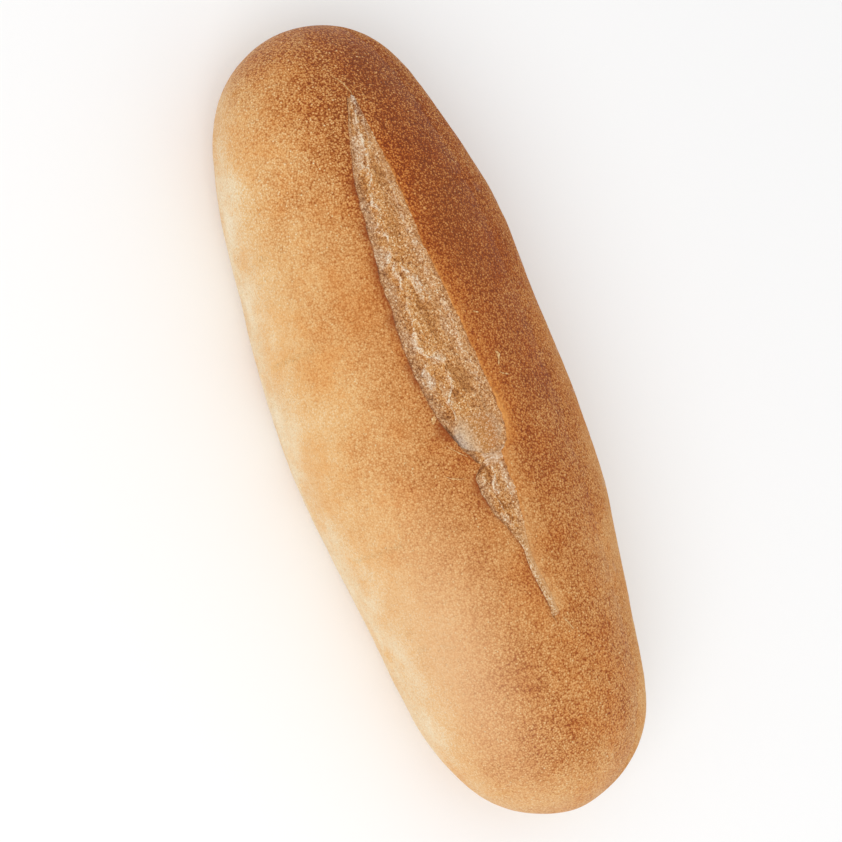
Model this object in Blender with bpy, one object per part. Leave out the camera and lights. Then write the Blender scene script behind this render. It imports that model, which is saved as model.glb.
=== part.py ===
"""A long oval bread roll, with one lengthwise score that burst open along its top while it baked.

X runs along the roll, -Y is the side that the crumb broke away from, and Z is up. The roll lies on
its flat base at z = 0, and the origin is under the middle of its box. Everything is in metres.
"""

import math

import bmesh
import bpy

# The roll
LENGTH = 0.180
WIDTH = 0.0636
HEIGHT = 0.0445
WAIST_HEIGHT = 0.018  # height of the roll's widest line, where its two ends also point
BASE_CUT = 0.0025  # how far the round underside would bulge below the flat base
BASE_EDGE = 0.0012  # height over which the base's edge rounds into the flank
SWAY = 0.0005  # sideways wander of the hand-rolled dough
SWAY_LENGTH = 0.069
SWAY_START = 0.0054
SLIM_PLACE = 0.045  # where the +X half was rolled a little thinner
SLIM_REACH = 0.022
SLIM_SHARE = 0.045

# How an outline falls away towards a tip: it narrows slowly by the share narrowing, then turns in over
# its last stretch, which is shorter the larger bluntness is
PLAN = {"narrowing": 0.44, "bluntness": 15.0}
CROWN = {"narrowing": 0.35, "bluntness": 9.0}
UNDERSIDE = {"narrowing": 0.12, "bluntness": 5.0}
NARROWING_EASE = 2.4
ROUND_NOSE = 1.95  # the -X tip is nearly an ellipse's, which is 2
POINTED_NOSE = 1.6  # the +X tip is a little more pointed
CROWN_ROUNDNESS = 2.15  # 2 is an ellipse, more is squarer
FLANK_ROUNDNESS = 3.0

# The blade's cut, from end to end along the top
CUT_START = -0.0712
CUT_END = 0.0505
CUT_SIDE = 0.0009  # how far the cut lies to +Y of the middle
CUT_BEND = 0.0022
CUT_BEND_PLACE = 0.0335
CUT_BEND_REACH = 0.009
CUT_GAP = 0.0003  # half the width of the cut where it didn't burst
SEAM_SPREAD = 0.00055  # and how much wider each half is in the torn seam past the burst
SEAM_PLACE = 0.040
SEAM_REACH = 0.012

# The burst: a wide opening, then a pinch where the crust held, then a narrow opening
NEAR_SPREAD = 0.0116
NEAR_WIDEST = -0.021
NEAR_END = 0.0150
NEAR_EASE = 2.45  # how soon a lip reaches its full spread
FAR_SPREAD = 0.00395
FAR_START = -0.036  # the +Y lip only draws back from here on
FAR_WIDEST = 0.003
FAR_END = 0.0108
FAR_EASE = 1.6
LOBE_BLUNTNESS = 2.4
SECOND_SPREAD = 0.0073
SECOND_START = 0.0105
SECOND_WIDEST = 0.0165
SECOND_END = 0.035
SECOND_EASE = 3.0

# Inside the burst, the crumb falls away steeply at the near lip and climbs to just under the far lip
GROOVE_DEPTH = 0.0026
CUT_DEPTH = 0.0005  # where the cut didn't burst
FAR_STEP = 0.0007
FLOOR_CURVE = 1.8
FULL_OPENING = 0.007  # an opening this wide is as deep as it gets
DOME_PLACE = 0.0075  # the smooth swelling of crumb beside the pinch
DOME_REACH = 0.0055
DOME_RISE = 0.0010
LIP_SWELL = 0.0005
LIP_REACH = 0.005

# The mesh: rings from end to end, and columns around, some of them across the burst
RINGS = 88
COLUMNS = 56
BURST_COLUMNS = 8
COLUMN_GRADING = 0.5  # 0 spreads the other columns evenly, more crowds them towards the lips
LIP_FOLLOW = 4  # the larger, the sooner the other columns stop following the lips
REST_ANGLE = 0.20  # half the angle that the burst's columns span beyond the cut's ends
SETTLE_LENGTH = 0.018  # how fast they spread to that angle

CRUST_COLOUR = (0.60, 0.32, 0.12, 1.0)
CRUST_ROUGHNESS = 0.55


def clear_scene():
    for old in list(bpy.data.objects):
        bpy.data.objects.remove(old, do_unlink=True)


def smooth_step(value):
    value = min(max(value, 0.0), 1.0)
    return value * value * (3.0 - 2.0 * value)


def bell(distance, reach):
    return math.exp(-((distance / reach) ** 2))


def taper(x, narrowing, bluntness):
    """Share of the full size that is left at x: 1 in the middle, 0 at a tip."""
    out = abs(x) / (0.5 * LENGTH)
    nose = ROUND_NOSE if x < 0.0 else POINTED_NOSE
    return (1.0 - narrowing * out**NARROWING_EASE) * (1.0 - out**bluntness) ** (1.0 / nose)


def ease_out(share, ease):
    """0 at share 0 and 1 at share 1, the sooner near 1 the larger ease is."""
    return 1.0 - (1.0 - min(max(share, 0.0), 1.0)) ** ease


def lobe(x, start, widest, end, ease):
    """0 at start, rising to 1 at widest, then falling bluntly to 0 at end."""
    if x <= start or x >= end:
        return 0.0
    if x < widest:
        return ease_out((x - start) / (widest - start), ease)
    return math.sqrt(1.0 - ((x - widest) / (end - widest)) ** LOBE_BLUNTNESS)


def cut_side(x):
    return CUT_SIDE - CUT_BEND * bell(x - CUT_BEND_PLACE, CUT_BEND_REACH)


def seam(x):
    """Half the width of the cut where it didn't burst open."""
    return CUT_GAP + SEAM_SPREAD * bell(x - SEAM_PLACE, SEAM_REACH)


def near_lip(x):
    """How far the -Y lip has moved away from the cut."""
    first = NEAR_SPREAD * lobe(x, CUT_START, NEAR_WIDEST, NEAR_END, NEAR_EASE)
    second = SECOND_SPREAD * ease_out((x - SECOND_START) / (SECOND_WIDEST - SECOND_START), SECOND_EASE)
    second *= 1.0 - smooth_step((x - SECOND_WIDEST) / (SECOND_END - SECOND_WIDEST))
    return max(first, second, seam(x))


def far_lip(x):
    """How far the +Y lip has moved away from the cut."""
    return max(FAR_SPREAD * lobe(x, FAR_START, FAR_WIDEST, FAR_END, FAR_EASE), seam(x))


def half_width(x):
    slim = 1.0 - SLIM_SHARE * bell(x - SLIM_PLACE, SLIM_REACH)
    return 0.5 * WIDTH * slim * taper(x, **PLAN)


def rise(x):
    """Height of the top above the widest line."""
    return (HEIGHT - LIP_SWELL - WAIST_HEIGHT) * taper(x, **CROWN)


def drop(x):
    """Depth of the whole round underside below the widest line."""
    return (WAIST_HEIGHT + BASE_CUT) * taper(x, **UNDERSIDE)


def section_radius(x, angle):
    """Distance from the widest line's middle to the surface, with angle 0 up and +90 degrees at +Y."""
    across = abs(math.sin(angle)) / half_width(x)
    if math.cos(angle) >= 0.0:
        roundness, along = CROWN_ROUNDNESS, math.cos(angle) / rise(x)
    else:
        roundness, along = FLANK_ROUNDNESS, -math.cos(angle) / drop(x)
    return (across**roundness + along**roundness) ** (-1.0 / roundness)


def lip_angles(x):
    """The angles of the near and the far lip; beyond the cut they open out to a plain strip."""
    inside = min(max(x, CUT_START), CUT_END)
    height = rise(inside)
    near = math.atan2(cut_side(inside) - near_lip(inside), height)
    far = math.atan2(cut_side(inside) + far_lip(inside), height)
    settled = smooth_step(abs(x - inside) / SETTLE_LENGTH)
    return near + (-REST_ANGLE - near) * settled, far + (REST_ANGLE - far) * settled


def column_angle(column, near, far):
    """(angle, place across the burst from 0 to 1, or None outside it)."""
    if column <= BURST_COLUMNS:
        across = 0.5 - 0.5 * math.cos(math.pi * column / BURST_COLUMNS)
        return near + (far - near) * across, across
    k = (column - BURST_COLUMNS) / (COLUMNS - BURST_COLUMNS)
    turn = 2.0 * math.pi
    share = k - COLUMN_GRADING * math.sin(turn * k) / turn
    angle = REST_ANGLE + (turn - 2.0 * REST_ANGLE) * share
    angle += (far - REST_ANGLE) * (1.0 - k) ** LIP_FOLLOW + (near + REST_ANGLE) * k**LIP_FOLLOW
    return angle, None


def burst_depth(x, across):
    """How far the torn crumb lies below where the unbroken crust would be."""
    opening = near_lip(x) + far_lip(x)
    openness = smooth_step(opening / FULL_OPENING) * smooth_step((x - CUT_START) / SETTLE_LENGTH)
    floor = FAR_STEP + (GROOVE_DEPTH - FAR_STEP) * (1.0 - across) ** FLOOR_CURVE
    dome = DOME_RISE * bell(x - DOME_PLACE, DOME_REACH) * math.sin(math.pi * across)
    closed = CUT_DEPTH * smooth_step((CUT_END - x) / SETTLE_LENGTH) * (x > CUT_START)
    return max(openness * (floor - dome), closed)


def lip_swelling(x, angle, near, far):
    """The crust stands a little proud along both lips."""
    if not CUT_START < x < CUT_END:
        return 0.0
    away = min(abs(angle - far), abs(angle - near - 2.0 * math.pi)) * rise(x)
    openness = smooth_step((near_lip(x) + far_lip(x)) / FULL_OPENING)
    return LIP_SWELL * openness * bell(away, LIP_REACH)


def flatten_base(z):
    """z, or 0 below the base, with the edge between them rounded."""
    if z >= BASE_EDGE:
        return z
    if z <= -BASE_EDGE:
        return 0.0
    return (z + BASE_EDGE) ** 2 / (4.0 * BASE_EDGE)


def sway(x):
    return -SWAY * taper(x, **PLAN) * math.cos(2.0 * math.pi * (x + SWAY_START) / SWAY_LENGTH)


def surface_point(ring, column):
    if ring in (0, RINGS):
        return (LENGTH * (ring / RINGS - 0.5), 0.0, WAIST_HEIGHT)
    x = -0.5 * LENGTH * math.cos(math.pi * ring / RINGS)
    near, far = lip_angles(x)
    angle, across = column_angle(column, near, far)
    radius = section_radius(x, angle)
    if across in (None, 0.0, 1.0):
        radius += lip_swelling(x, angle if across is None else far, near, far)
    else:
        radius -= burst_depth(x, across)
    y = sway(x) + radius * math.sin(angle)
    return (x, y, flatten_base(WAIST_HEIGHT + radius * math.cos(angle)))


def shape_roll():
    """A sphere whose rings and columns are laid over the roll's surface."""
    shape = bmesh.new()
    bmesh.ops.create_uvsphere(shape, u_segments=COLUMNS, v_segments=RINGS, radius=1.0)
    for vertex in shape.verts:
        x, y, z = vertex.co
        ring = round(math.acos(min(max(-z, -1.0), 1.0)) / math.pi * RINGS)
        column = round(math.atan2(y, x) / (2.0 * math.pi) * COLUMNS) % COLUMNS
        vertex.co = surface_point(ring, column)
    middle = 0.5 * (max(v.co.y for v in shape.verts) + min(v.co.y for v in shape.verts))
    bmesh.ops.translate(shape, verts=shape.verts, vec=(0.0, -middle, 0.0))
    bmesh.ops.recalc_face_normals(shape, faces=shape.faces)
    return shape


def crust_material():
    material = bpy.data.materials.new("crust")
    material.use_nodes = True
    shader = material.node_tree.nodes["Principled BSDF"]
    shader.inputs["Base Color"].default_value = CRUST_COLOUR
    shader.inputs["Roughness"].default_value = CRUST_ROUGHNESS
    shader.inputs["Metallic"].default_value = 0.0
    return material


def add_roll():
    mesh = bpy.data.meshes.new("bread_roll")
    shape = shape_roll()
    shape.to_mesh(mesh)
    shape.free()
    mesh.materials.append(crust_material())
    mesh.shade_smooth()
    roll = bpy.data.objects.new("bread_roll", mesh)
    bpy.context.scene.collection.objects.link(roll)


clear_scene()
add_roll()
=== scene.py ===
import math

import bpy
import numpy as np
from mathutils import Matrix, Vector


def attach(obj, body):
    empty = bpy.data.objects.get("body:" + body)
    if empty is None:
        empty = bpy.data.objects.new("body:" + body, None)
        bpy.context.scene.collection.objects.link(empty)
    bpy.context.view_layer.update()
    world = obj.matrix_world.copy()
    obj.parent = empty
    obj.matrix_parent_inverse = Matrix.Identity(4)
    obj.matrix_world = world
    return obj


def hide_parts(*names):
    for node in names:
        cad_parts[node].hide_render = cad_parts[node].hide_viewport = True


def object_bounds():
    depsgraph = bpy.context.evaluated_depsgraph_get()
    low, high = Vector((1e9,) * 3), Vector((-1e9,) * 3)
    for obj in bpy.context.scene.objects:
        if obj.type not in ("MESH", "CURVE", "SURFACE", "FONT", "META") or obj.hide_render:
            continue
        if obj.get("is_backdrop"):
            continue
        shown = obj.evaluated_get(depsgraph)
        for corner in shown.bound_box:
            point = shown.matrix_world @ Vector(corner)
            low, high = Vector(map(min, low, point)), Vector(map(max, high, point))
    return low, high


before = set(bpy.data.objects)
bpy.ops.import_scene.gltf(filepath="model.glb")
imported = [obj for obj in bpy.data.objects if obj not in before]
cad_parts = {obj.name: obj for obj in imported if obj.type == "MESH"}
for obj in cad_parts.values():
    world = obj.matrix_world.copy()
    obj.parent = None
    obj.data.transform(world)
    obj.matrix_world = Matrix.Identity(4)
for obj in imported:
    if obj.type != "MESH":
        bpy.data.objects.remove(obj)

# ------------------------------------------------------------------------------------------------
# Crust: the browned skin of the roll. It is one piece of dough, rolled by hand to a long oval, laid
# on a flat tray and cut once along its top. The cut burst open in the oven: the crust's edges curled
# back from it, the near (-Y) edge furthest, and the +Y side and the -X end browned most.
# ------------------------------------------------------------------------------------------------

low, high = (np.array(corner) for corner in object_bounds())
LENGTH, WIDTH, HEIGHT = high - low
WAIST_HEIGHT = 0.018  # height of the widest line, where both ends also point
BASE_CUT = 0.0025
BASE_EDGE = 0.0012
SWAY = 0.0005
SWAY_LENGTH = 0.069
SWAY_START = 0.0054
SLIM_PLACE = 0.045
SLIM_REACH = 0.022
SLIM_SHARE = 0.045
UNEVEN_WIDTH = 0.0004  # what the uneven skin adds to the even shape's width
CENTRING = 0.0004  # brings the middle of the roll back onto the frame's middle
PLAN = {"narrowing": 0.44, "bluntness": 15.0}
CROWN = {"narrowing": 0.35, "bluntness": 9.0}
UNDERSIDE = {"narrowing": 0.12, "bluntness": 5.0}
NARROWING_EASE = 2.4
ROUND_NOSE = 1.95
POINTED_NOSE = 1.6
CROWN_ROUNDNESS = 2.15
FLANK_ROUNDNESS = 3.0

CUT_START = -0.0712
CUT_END = 0.0480
CUT_SIDE = 0.0009
CUT_BEND = 0.0022
CUT_BEND_PLACE = 0.0335
CUT_BEND_REACH = 0.009
CUT_GAP = 0.0002
TIP_GAP_SHARE = 0.3  # how much of that gap is left at the cut's -X tip
TIP_LENGTH = 0.005
TIP_RAGGEDNESS = 0.8
TIP_RAGGED_LENGTH = 0.003
SEAM_SPREAD = 0.00055
SEAM_PLACE = 0.040
SEAM_REACH = 0.012
KNOB_SPREAD = 0.0004
KNOB_PLACE = 0.0466
KNOB_REACH = 0.0008
NEAR_SPREAD = 0.0116
NEAR_WIDEST = -0.021
NEAR_END = 0.0150
NEAR_EASE = 2.45
FAR_SPREAD = 0.00395
FAR_START = -0.036
FAR_WIDEST = 0.003
FAR_END = 0.0108
FAR_EASE = 1.6
LOBE_BLUNTNESS = 2.4
SECOND_SPREAD = 0.0073
SECOND_START = 0.0105
SECOND_WIDEST = 0.0165
SECOND_END = 0.035
SECOND_EASE = 3.0
FULL_OPENING = 0.007
SETTLE_LENGTH = 0.018
REST_ANGLE = 0.20

# Each layer of lumps or waves: its height in mm, how wide its lumps are in metres, its seed
NEAR_WAVES = ((0.18, 0.0060, 1), (0.11, 0.0016, 2))
FAR_WAVES = ((0.10, 0.0070, 3), (0.09, 0.0018, 4))
BROAD_LUMPS = ((0.20, 0.030, 11), (0.12, 0.013, 12))
SMALL_LUMPS = ((0.05, 0.0055, 13), (0.025, 0.0022, 14))
# Shallow dents in the far flank: place along the roll and length in metres, depth in mm
DENTS = ((-0.066, 0.008, 0.35), (-0.022, 0.010, 0.45), (0.054, 0.010, 0.7))
DENT_ANGLE = math.radians(78.0)
DENT_TURN = 0.5

CRUST_RINGS = 384
CRUST_COLUMNS = 258
BURST_COLUMNS = 26
COLUMN_GRADING = 0.78
LIP_FOLLOW = 4
RING_CROWDING = 0.4  # share by which the rings are closer in the middle than round the ends
NOISE_CELLS = 64
MM = 0.001


def smooth_step(value):
    value = np.clip(value, 0.0, 1.0)
    return value * value * (3.0 - 2.0 * value)


def bell(distance, reach):
    return np.exp(-((distance / reach) ** 2))


def lumps(points, size, seed):
    """Smooth noise from about -1 to 1, in lumps about as wide as size; size may be three lengths."""
    table = np.random.RandomState(seed).uniform(-1.6, 1.6, 3 * (NOISE_CELLS,))
    places = points / np.asarray(size)
    cell = np.floor(places).astype(int)
    inside = places - cell
    inside = inside**3 * (inside * (inside * 6.0 - 15.0) + 10.0)
    total = 0.0
    for corner in np.ndindex(2, 2, 2):
        weight = np.prod(np.where(corner, inside, 1.0 - inside), axis=-1)
        total = total + weight * table[tuple(((cell + corner) % NOISE_CELLS).T)]
    return total


def layered(points, layers):
    """Lumps of several sizes on top of each other."""
    return sum(height * lumps(points, size, seed) for height, size, seed in layers)


def along_noise(x, size, seed):
    """Smooth noise that varies along the roll only."""
    return lumps(np.stack([x, 0.0 * x, 0.0 * x], axis=-1), size, seed)


def waves(x, layers):
    return sum(height * MM * along_noise(x, size, seed) for height, size, seed in layers)


def taper(x, narrowing, bluntness):
    """Share of the full size that is left at x: 1 in the middle, 0 at a tip."""
    out = np.abs(x) / (0.5 * LENGTH)
    nose = np.where(x < 0.0, ROUND_NOSE, POINTED_NOSE)
    left = np.maximum(1.0 - out**bluntness, 1e-9) ** (1.0 / nose)
    return (1.0 - narrowing * out**NARROWING_EASE) * left


def ease_out(share, ease):
    return 1.0 - (1.0 - np.clip(share, 0.0, 1.0)) ** ease


def lobe(x, start, widest, end, ease):
    """0 at start, rising to 1 at widest, then falling bluntly to 0 at end."""
    falling = 1.0 - np.clip((x - widest) / (end - widest), 0.0, 1.0) ** LOBE_BLUNTNESS
    return np.where(x < widest, ease_out((x - start) / (widest - start), ease), np.sqrt(falling))


def cut_side(x):
    return CUT_SIDE - CUT_BEND * bell(x - CUT_BEND_PLACE, CUT_BEND_REACH)


def seam_spread(x):
    """How far a lip stands off the cut at the least: what shows where the cut stayed shut."""
    gap = CUT_GAP * (TIP_GAP_SHARE + (1.0 - TIP_GAP_SHARE) * smooth_step((x - CUT_START) / TIP_LENGTH))
    seam = SEAM_SPREAD * bell(x - SEAM_PLACE, SEAM_REACH)
    knob = KNOB_SPREAD * bell(x - KNOB_PLACE, KNOB_REACH)
    return gap + seam + knob


def near_spread(x):
    """How far the near lip has moved away from the cut."""
    first = NEAR_SPREAD * lobe(x, CUT_START, NEAR_WIDEST, NEAR_END, NEAR_EASE)
    second = SECOND_SPREAD * ease_out((x - SECOND_START) / (SECOND_WIDEST - SECOND_START), SECOND_EASE)
    second = second * (1.0 - smooth_step((x - SECOND_WIDEST) / (SECOND_END - SECOND_WIDEST)))
    return np.maximum(np.maximum(first, second), seam_spread(x))


def far_spread(x):
    return np.maximum(FAR_SPREAD * lobe(x, FAR_START, FAR_WIDEST, FAR_END, FAR_EASE), seam_spread(x))


def openness(x):
    """0 where the cut stayed shut, 1 where it opened fully."""
    ends = smooth_step((x - CUT_START) / SETTLE_LENGTH) * (x < CUT_END)
    return smooth_step((near_spread(x) + far_spread(x)) / FULL_OPENING) * ends


def half_width(x):
    slim = 1.0 - SLIM_SHARE * bell(x - SLIM_PLACE, SLIM_REACH)
    return 0.5 * (WIDTH - 0.5 * SWAY - UNEVEN_WIDTH) * slim * taper(x, **PLAN)


def rise(x):
    return (HEIGHT - WAIST_HEIGHT) * taper(x, **CROWN)


def drop(x):
    return (WAIST_HEIGHT + BASE_CUT) * taper(x, **UNDERSIDE)


def section_radius(x, angle):
    """Distance from the widest line's middle to the surface; angle is 0 up and 90 degrees at +Y."""
    up = np.cos(angle) >= 0.0
    roundness = np.where(up, CROWN_ROUNDNESS, FLANK_ROUNDNESS)
    across = np.abs(np.sin(angle)) / half_width(x)
    along = np.abs(np.cos(angle)) / np.where(up, rise(x), drop(x))
    return (across**roundness + along**roundness) ** (-1.0 / roundness)


def lip_angles(x):
    """The angles of the near and the far lip; past the cut's ends they stay as they are there."""
    inside = np.clip(x, CUT_START, CUT_END)
    ragged_tip = TIP_RAGGEDNESS * smooth_step((inside - CUT_START) / TIP_RAGGED_LENGTH) * (inside < 0.0)
    ragged = np.maximum(openness(inside), ragged_tip)
    near_wave = ragged * waves(inside, NEAR_WAVES)
    far_wave = ragged * waves(inside, FAR_WAVES)
    near = np.arctan2(cut_side(inside) - near_spread(inside) + near_wave, rise(inside))
    far = np.arctan2(cut_side(inside) + far_spread(inside) + far_wave, rise(inside))
    return near, far


def sway(x):
    return -SWAY * taper(x, **PLAN) * np.cos(2.0 * math.pi * (x + SWAY_START) / SWAY_LENGTH)


def skin_point(x, angle, out):
    """The point of the roll's surface at x and angle, moved outwards by out."""
    radius = section_radius(x, angle) + out
    z = WAIST_HEIGHT + radius * np.cos(angle)
    rounded = np.clip(z + BASE_EDGE, 0.0, None) ** 2 / (4.0 * BASE_EDGE)
    z = np.where(z < BASE_EDGE, rounded, z)
    return np.stack([x + 0.0 * angle, CENTRING + sway(x) + radius * np.sin(angle), z], axis=-1)


def unevenness(x, angle):
    """How far a hand-rolled roll stands out or in from its even shape."""
    place = skin_point(x, angle, 0.0)
    uneven = layered(place, BROAD_LUMPS) + layered(place, SMALL_LUMPS)
    for where, long, deep in DENTS:
        uneven = uneven - deep * bell(x - where, long) * bell(angle - DENT_ANGLE, DENT_TURN)
    return MM * uneven


def add_ball(name, rings, columns):
    """A sphere primitive with the ring and the column of each of its vertices, poles at its two ends."""
    bpy.ops.object.select_all(action="DESELECT")
    bpy.ops.mesh.primitive_uv_sphere_add(segments=columns, ring_count=rings, radius=1.0)
    piece = bpy.context.object
    piece.name = piece.data.name = name
    points = np.empty(3 * len(piece.data.vertices), np.float32)
    piece.data.vertices.foreach_get("co", points)
    x, y, z = points.reshape(-1, 3).T
    ring = np.rint(np.arccos(np.clip(-z, -1.0, 1.0)) / math.pi * rings).astype(int)
    column = np.rint(-np.arctan2(y, x) / (2.0 * math.pi) * columns).astype(int) % columns
    return piece, ring, column


def lay_over(piece, points):
    """Moves the ball's vertices to their places on the roll, and shades it smooth."""
    piece.data.vertices.foreach_set("co", points.astype(np.float32).ravel())
    piece.data.update()
    piece.data.shade_smooth()


def paint_on(piece, name, values):
    attribute = piece.data.attributes.new(name, "FLOAT", "POINT")
    attribute.data.foreach_set("value", np.asarray(values, np.float32))


def unroll(piece, ring, column, along, around):
    """The bake map: along gives each ring's place on it, around each column's, from the seam on."""
    mesh = piece.data
    corners = np.empty(len(mesh.loops), np.int32)
    starts = np.empty(len(mesh.polygons), np.int32)
    mesh.loops.foreach_get("vertex_index", corners)
    mesh.polygons.foreach_get("loop_start", starts)
    face = np.searchsorted(starts, np.arange(len(corners)), side="right") - 1
    columns = len(around) - 1
    pole = (ring[corners] == 0) | (ring[corners] == len(along) - 1)
    turned = np.where(pole, -1, column[corners])
    last = np.maximum.reduceat(turned, starts)[face]
    turned = np.where((turned == 0) & (last == columns - 1), columns, turned)
    last = np.maximum.reduceat(turned, starts)[face]
    turned = np.where(pole, last - 0.5, turned)
    places = np.stack([along[ring[corners]], np.interp(turned, np.arange(columns + 1), around)], axis=-1)
    while mesh.uv_layers:
        mesh.uv_layers.remove(mesh.uv_layers[0])
    mesh.uv_layers.new(name="OFBake").data.foreach_set("uv", places.astype(np.float32).ravel())


def run_length(places):
    """The share of a line's length that is run at each of its points."""
    steps = np.linalg.norm(np.diff(places, axis=0), axis=-1)
    return np.concatenate([[0.0], np.cumsum(steps)]) / np.sum(steps)


def ring_places(ring, rings, start, end):
    """Where the rings lie along X: closer together towards the middle and the two tips."""
    turn = math.pi * ring / rings
    turn = turn + 0.5 * RING_CROWDING * np.sin(2.0 * turn)
    return 0.5 * (start + end) - 0.5 * (end - start) * np.cos(turn)


def roll_over(distance, radius):
    """How far a rounded edge has dropped at this distance from its brink."""
    inside = np.clip(radius - distance, 0.0, radius)
    return radius - np.sqrt(radius**2 - inside**2)


SEAM = CRUST_COLUMNS - (CRUST_COLUMNS - BURST_COLUMNS) // 2  # the middle column of the underside
crust, ring, seam_column = add_ball("crust", CRUST_RINGS, CRUST_COLUMNS)
column = (seam_column + SEAM) % CRUST_COLUMNS
x = ring_places(ring, CRUST_RINGS, -0.5 * LENGTH, 0.5 * LENGTH)
near_angle, far_angle = lip_angles(x)
settled = smooth_step(np.abs(x - np.clip(x, CUT_START, CUT_END)) / SETTLE_LENGTH)
near_angle = near_angle + (-REST_ANGLE - near_angle) * settled
far_angle = far_angle + (REST_ANGLE - far_angle) * settled

# Outside the burst the columns run from the far lip round underneath to the near lip
k = np.clip((column - BURST_COLUMNS) / (CRUST_COLUMNS - BURST_COLUMNS), 0.0, 1.0)
TURN = 2.0 * math.pi
share = k - COLUMN_GRADING * np.sin(TURN * k) / TURN
round_angle = REST_ANGLE + (TURN - 2.0 * REST_ANGLE) * share
round_angle += (far_angle - REST_ANGLE) * (1.0 - k) ** LIP_FOLLOW
round_angle += (near_angle + REST_ANGLE) * k**LIP_FOLLOW
reach = section_radius(x, round_angle)
to_far = (round_angle - far_angle) * reach
to_near = (near_angle + TURN - round_angle) * reach

# The crust swells a little towards each lip, then rolls over into the burst
NEAR_SWELL = 0.00030
NEAR_SWELL_REACH = 0.0045
NEAR_ROLL = 0.0005
FAR_SWELL = 0.00016
FAR_SWELL_REACH = 0.0035
FAR_ROLL = 0.00030
SEAM_DIP = 0.00016  # the shallow dip along the part of the cut that stayed shut
SEAM_DIP_REACH = 0.0009
SHUT_EASE = 0.004


def lip_swell(to_near, to_far):
    return NEAR_SWELL * bell(to_near, NEAR_SWELL_REACH) + FAR_SWELL * bell(to_far, FAR_SWELL_REACH)


open_here = openness(x)
rolled = roll_over(to_near, NEAR_ROLL) + roll_over(to_far, FAR_ROLL)
past_start = smooth_step((x - CUT_START) / SHUT_EASE)
before_end = smooth_step((CUT_END - x) / SHUT_EASE)
shut = (1.0 - open_here) * past_start * before_end
dipped = SEAM_DIP * bell(to_near, SEAM_DIP_REACH) * shut
outside = open_here * (lip_swell(to_near, to_far) - rolled) - dipped

# Across the burst the columns run down under the near lip, along a hidden floor and up under the far
HIDDEN_DEPTH = 0.0036
NEAR_TUCK = 0.0006
FAR_TUCK = 0.0005
NEAR_WALL = 0.3  # shares of the columns that go to the two walls and to the floor between them
FAR_WALL = 0.25
FLOOR_START = 0.2
FLOOR_SHARE = 0.6
CROWN_RADIUS = HEIGHT - WAIST_HEIGHT
v = np.clip(column / BURST_COLUMNS, 0.0, 1.0)
wall_near = smooth_step(v / NEAR_WALL)
wall_far = smooth_step((1.0 - v) / FAR_WALL)
under_near = -NEAR_TUCK * np.sin(math.pi * np.clip(v / NEAR_WALL, 0.0, 1.0))
under_far = FAR_TUCK * np.sin(math.pi * np.clip((1.0 - v) / FAR_WALL, 0.0, 1.0))
tucked = np.where(v < 0.5, under_near, under_far)
floor_place = np.clip((v - FLOOR_START) / FLOOR_SHARE, 0.0, 1.0)
inner_angle = near_angle + (far_angle - near_angle) * floor_place + open_here * tucked / CROWN_RADIUS
lip_drop = np.where(v < 0.5, NEAR_ROLL, FAR_ROLL)
sunk = lip_drop + (HIDDEN_DEPTH - lip_drop) * np.minimum(wall_near, wall_far)
inner = -open_here * sunk - SEAM_DIP * shut

in_burst = column <= BURST_COLUMNS
angle = np.where(in_burst, inner_angle, round_angle)
even_angle = np.where(angle > math.pi, angle - TURN, angle)
out = np.where(in_burst, inner, outside) + unevenness(x, even_angle)
points = skin_point(x, angle, out)
tip = (ring == 0) | (ring == CRUST_RINGS)
points[tip] = np.stack([x, 0.0 * x, WAIST_HEIGHT + 0.0 * x], axis=-1)[tip]
lay_over(crust, points)

# Browning: darkest just beyond the top on the far side and towards -X, pale low on the flanks
degrees = np.degrees(even_angle)
WARM_SIDE = 28.0  # where round the roll it browned most, in degrees from the top towards +Y
MOST_BROWN = 0.84
PALING = 0.87
PALING_TURN = 116.0
PALING_LIMIT = 0.92
PALING_EASE = 1.6
END_TILT = ((-0.030, 0.0, 0.078), (0.16, 0.0, -0.27))  # places along the roll, more browning there
UNDER_BROWN = 0.55
UNDER_HEIGHT = 0.0024
PLAIN_BROWN = 0.16  # low on both sides, where they meet underneath
MOTTLING = ((0.045, 0.022, 21), (0.040, 0.009, 22), (0.030, 0.004, 23))
place = skin_point(x, even_angle, 0.0)
from_warm = np.minimum(np.abs(degrees - WARM_SIDE) / PALING_TURN, PALING_LIMIT)
browning = MOST_BROWN - PALING * from_warm**PALING_EASE
tilt = np.interp(x, *END_TILT) - 0.04 * smooth_step(x / 0.020)
browning += tilt * smooth_step((degrees + 35.0) / 60.0)
# Paler past the far shoulder: partly paler crust, partly a painted sheen where the surface turns away
browning -= 0.10 * smooth_step((degrees - 44.0) / 25.0)
browning += 0.015 * smooth_step((-5.0 - degrees) / 25.0)
browning += 0.13 * smooth_step((np.abs(x) - 0.056) / 0.026) * smooth_step((-48.0 - degrees) / 30.0)
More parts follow.
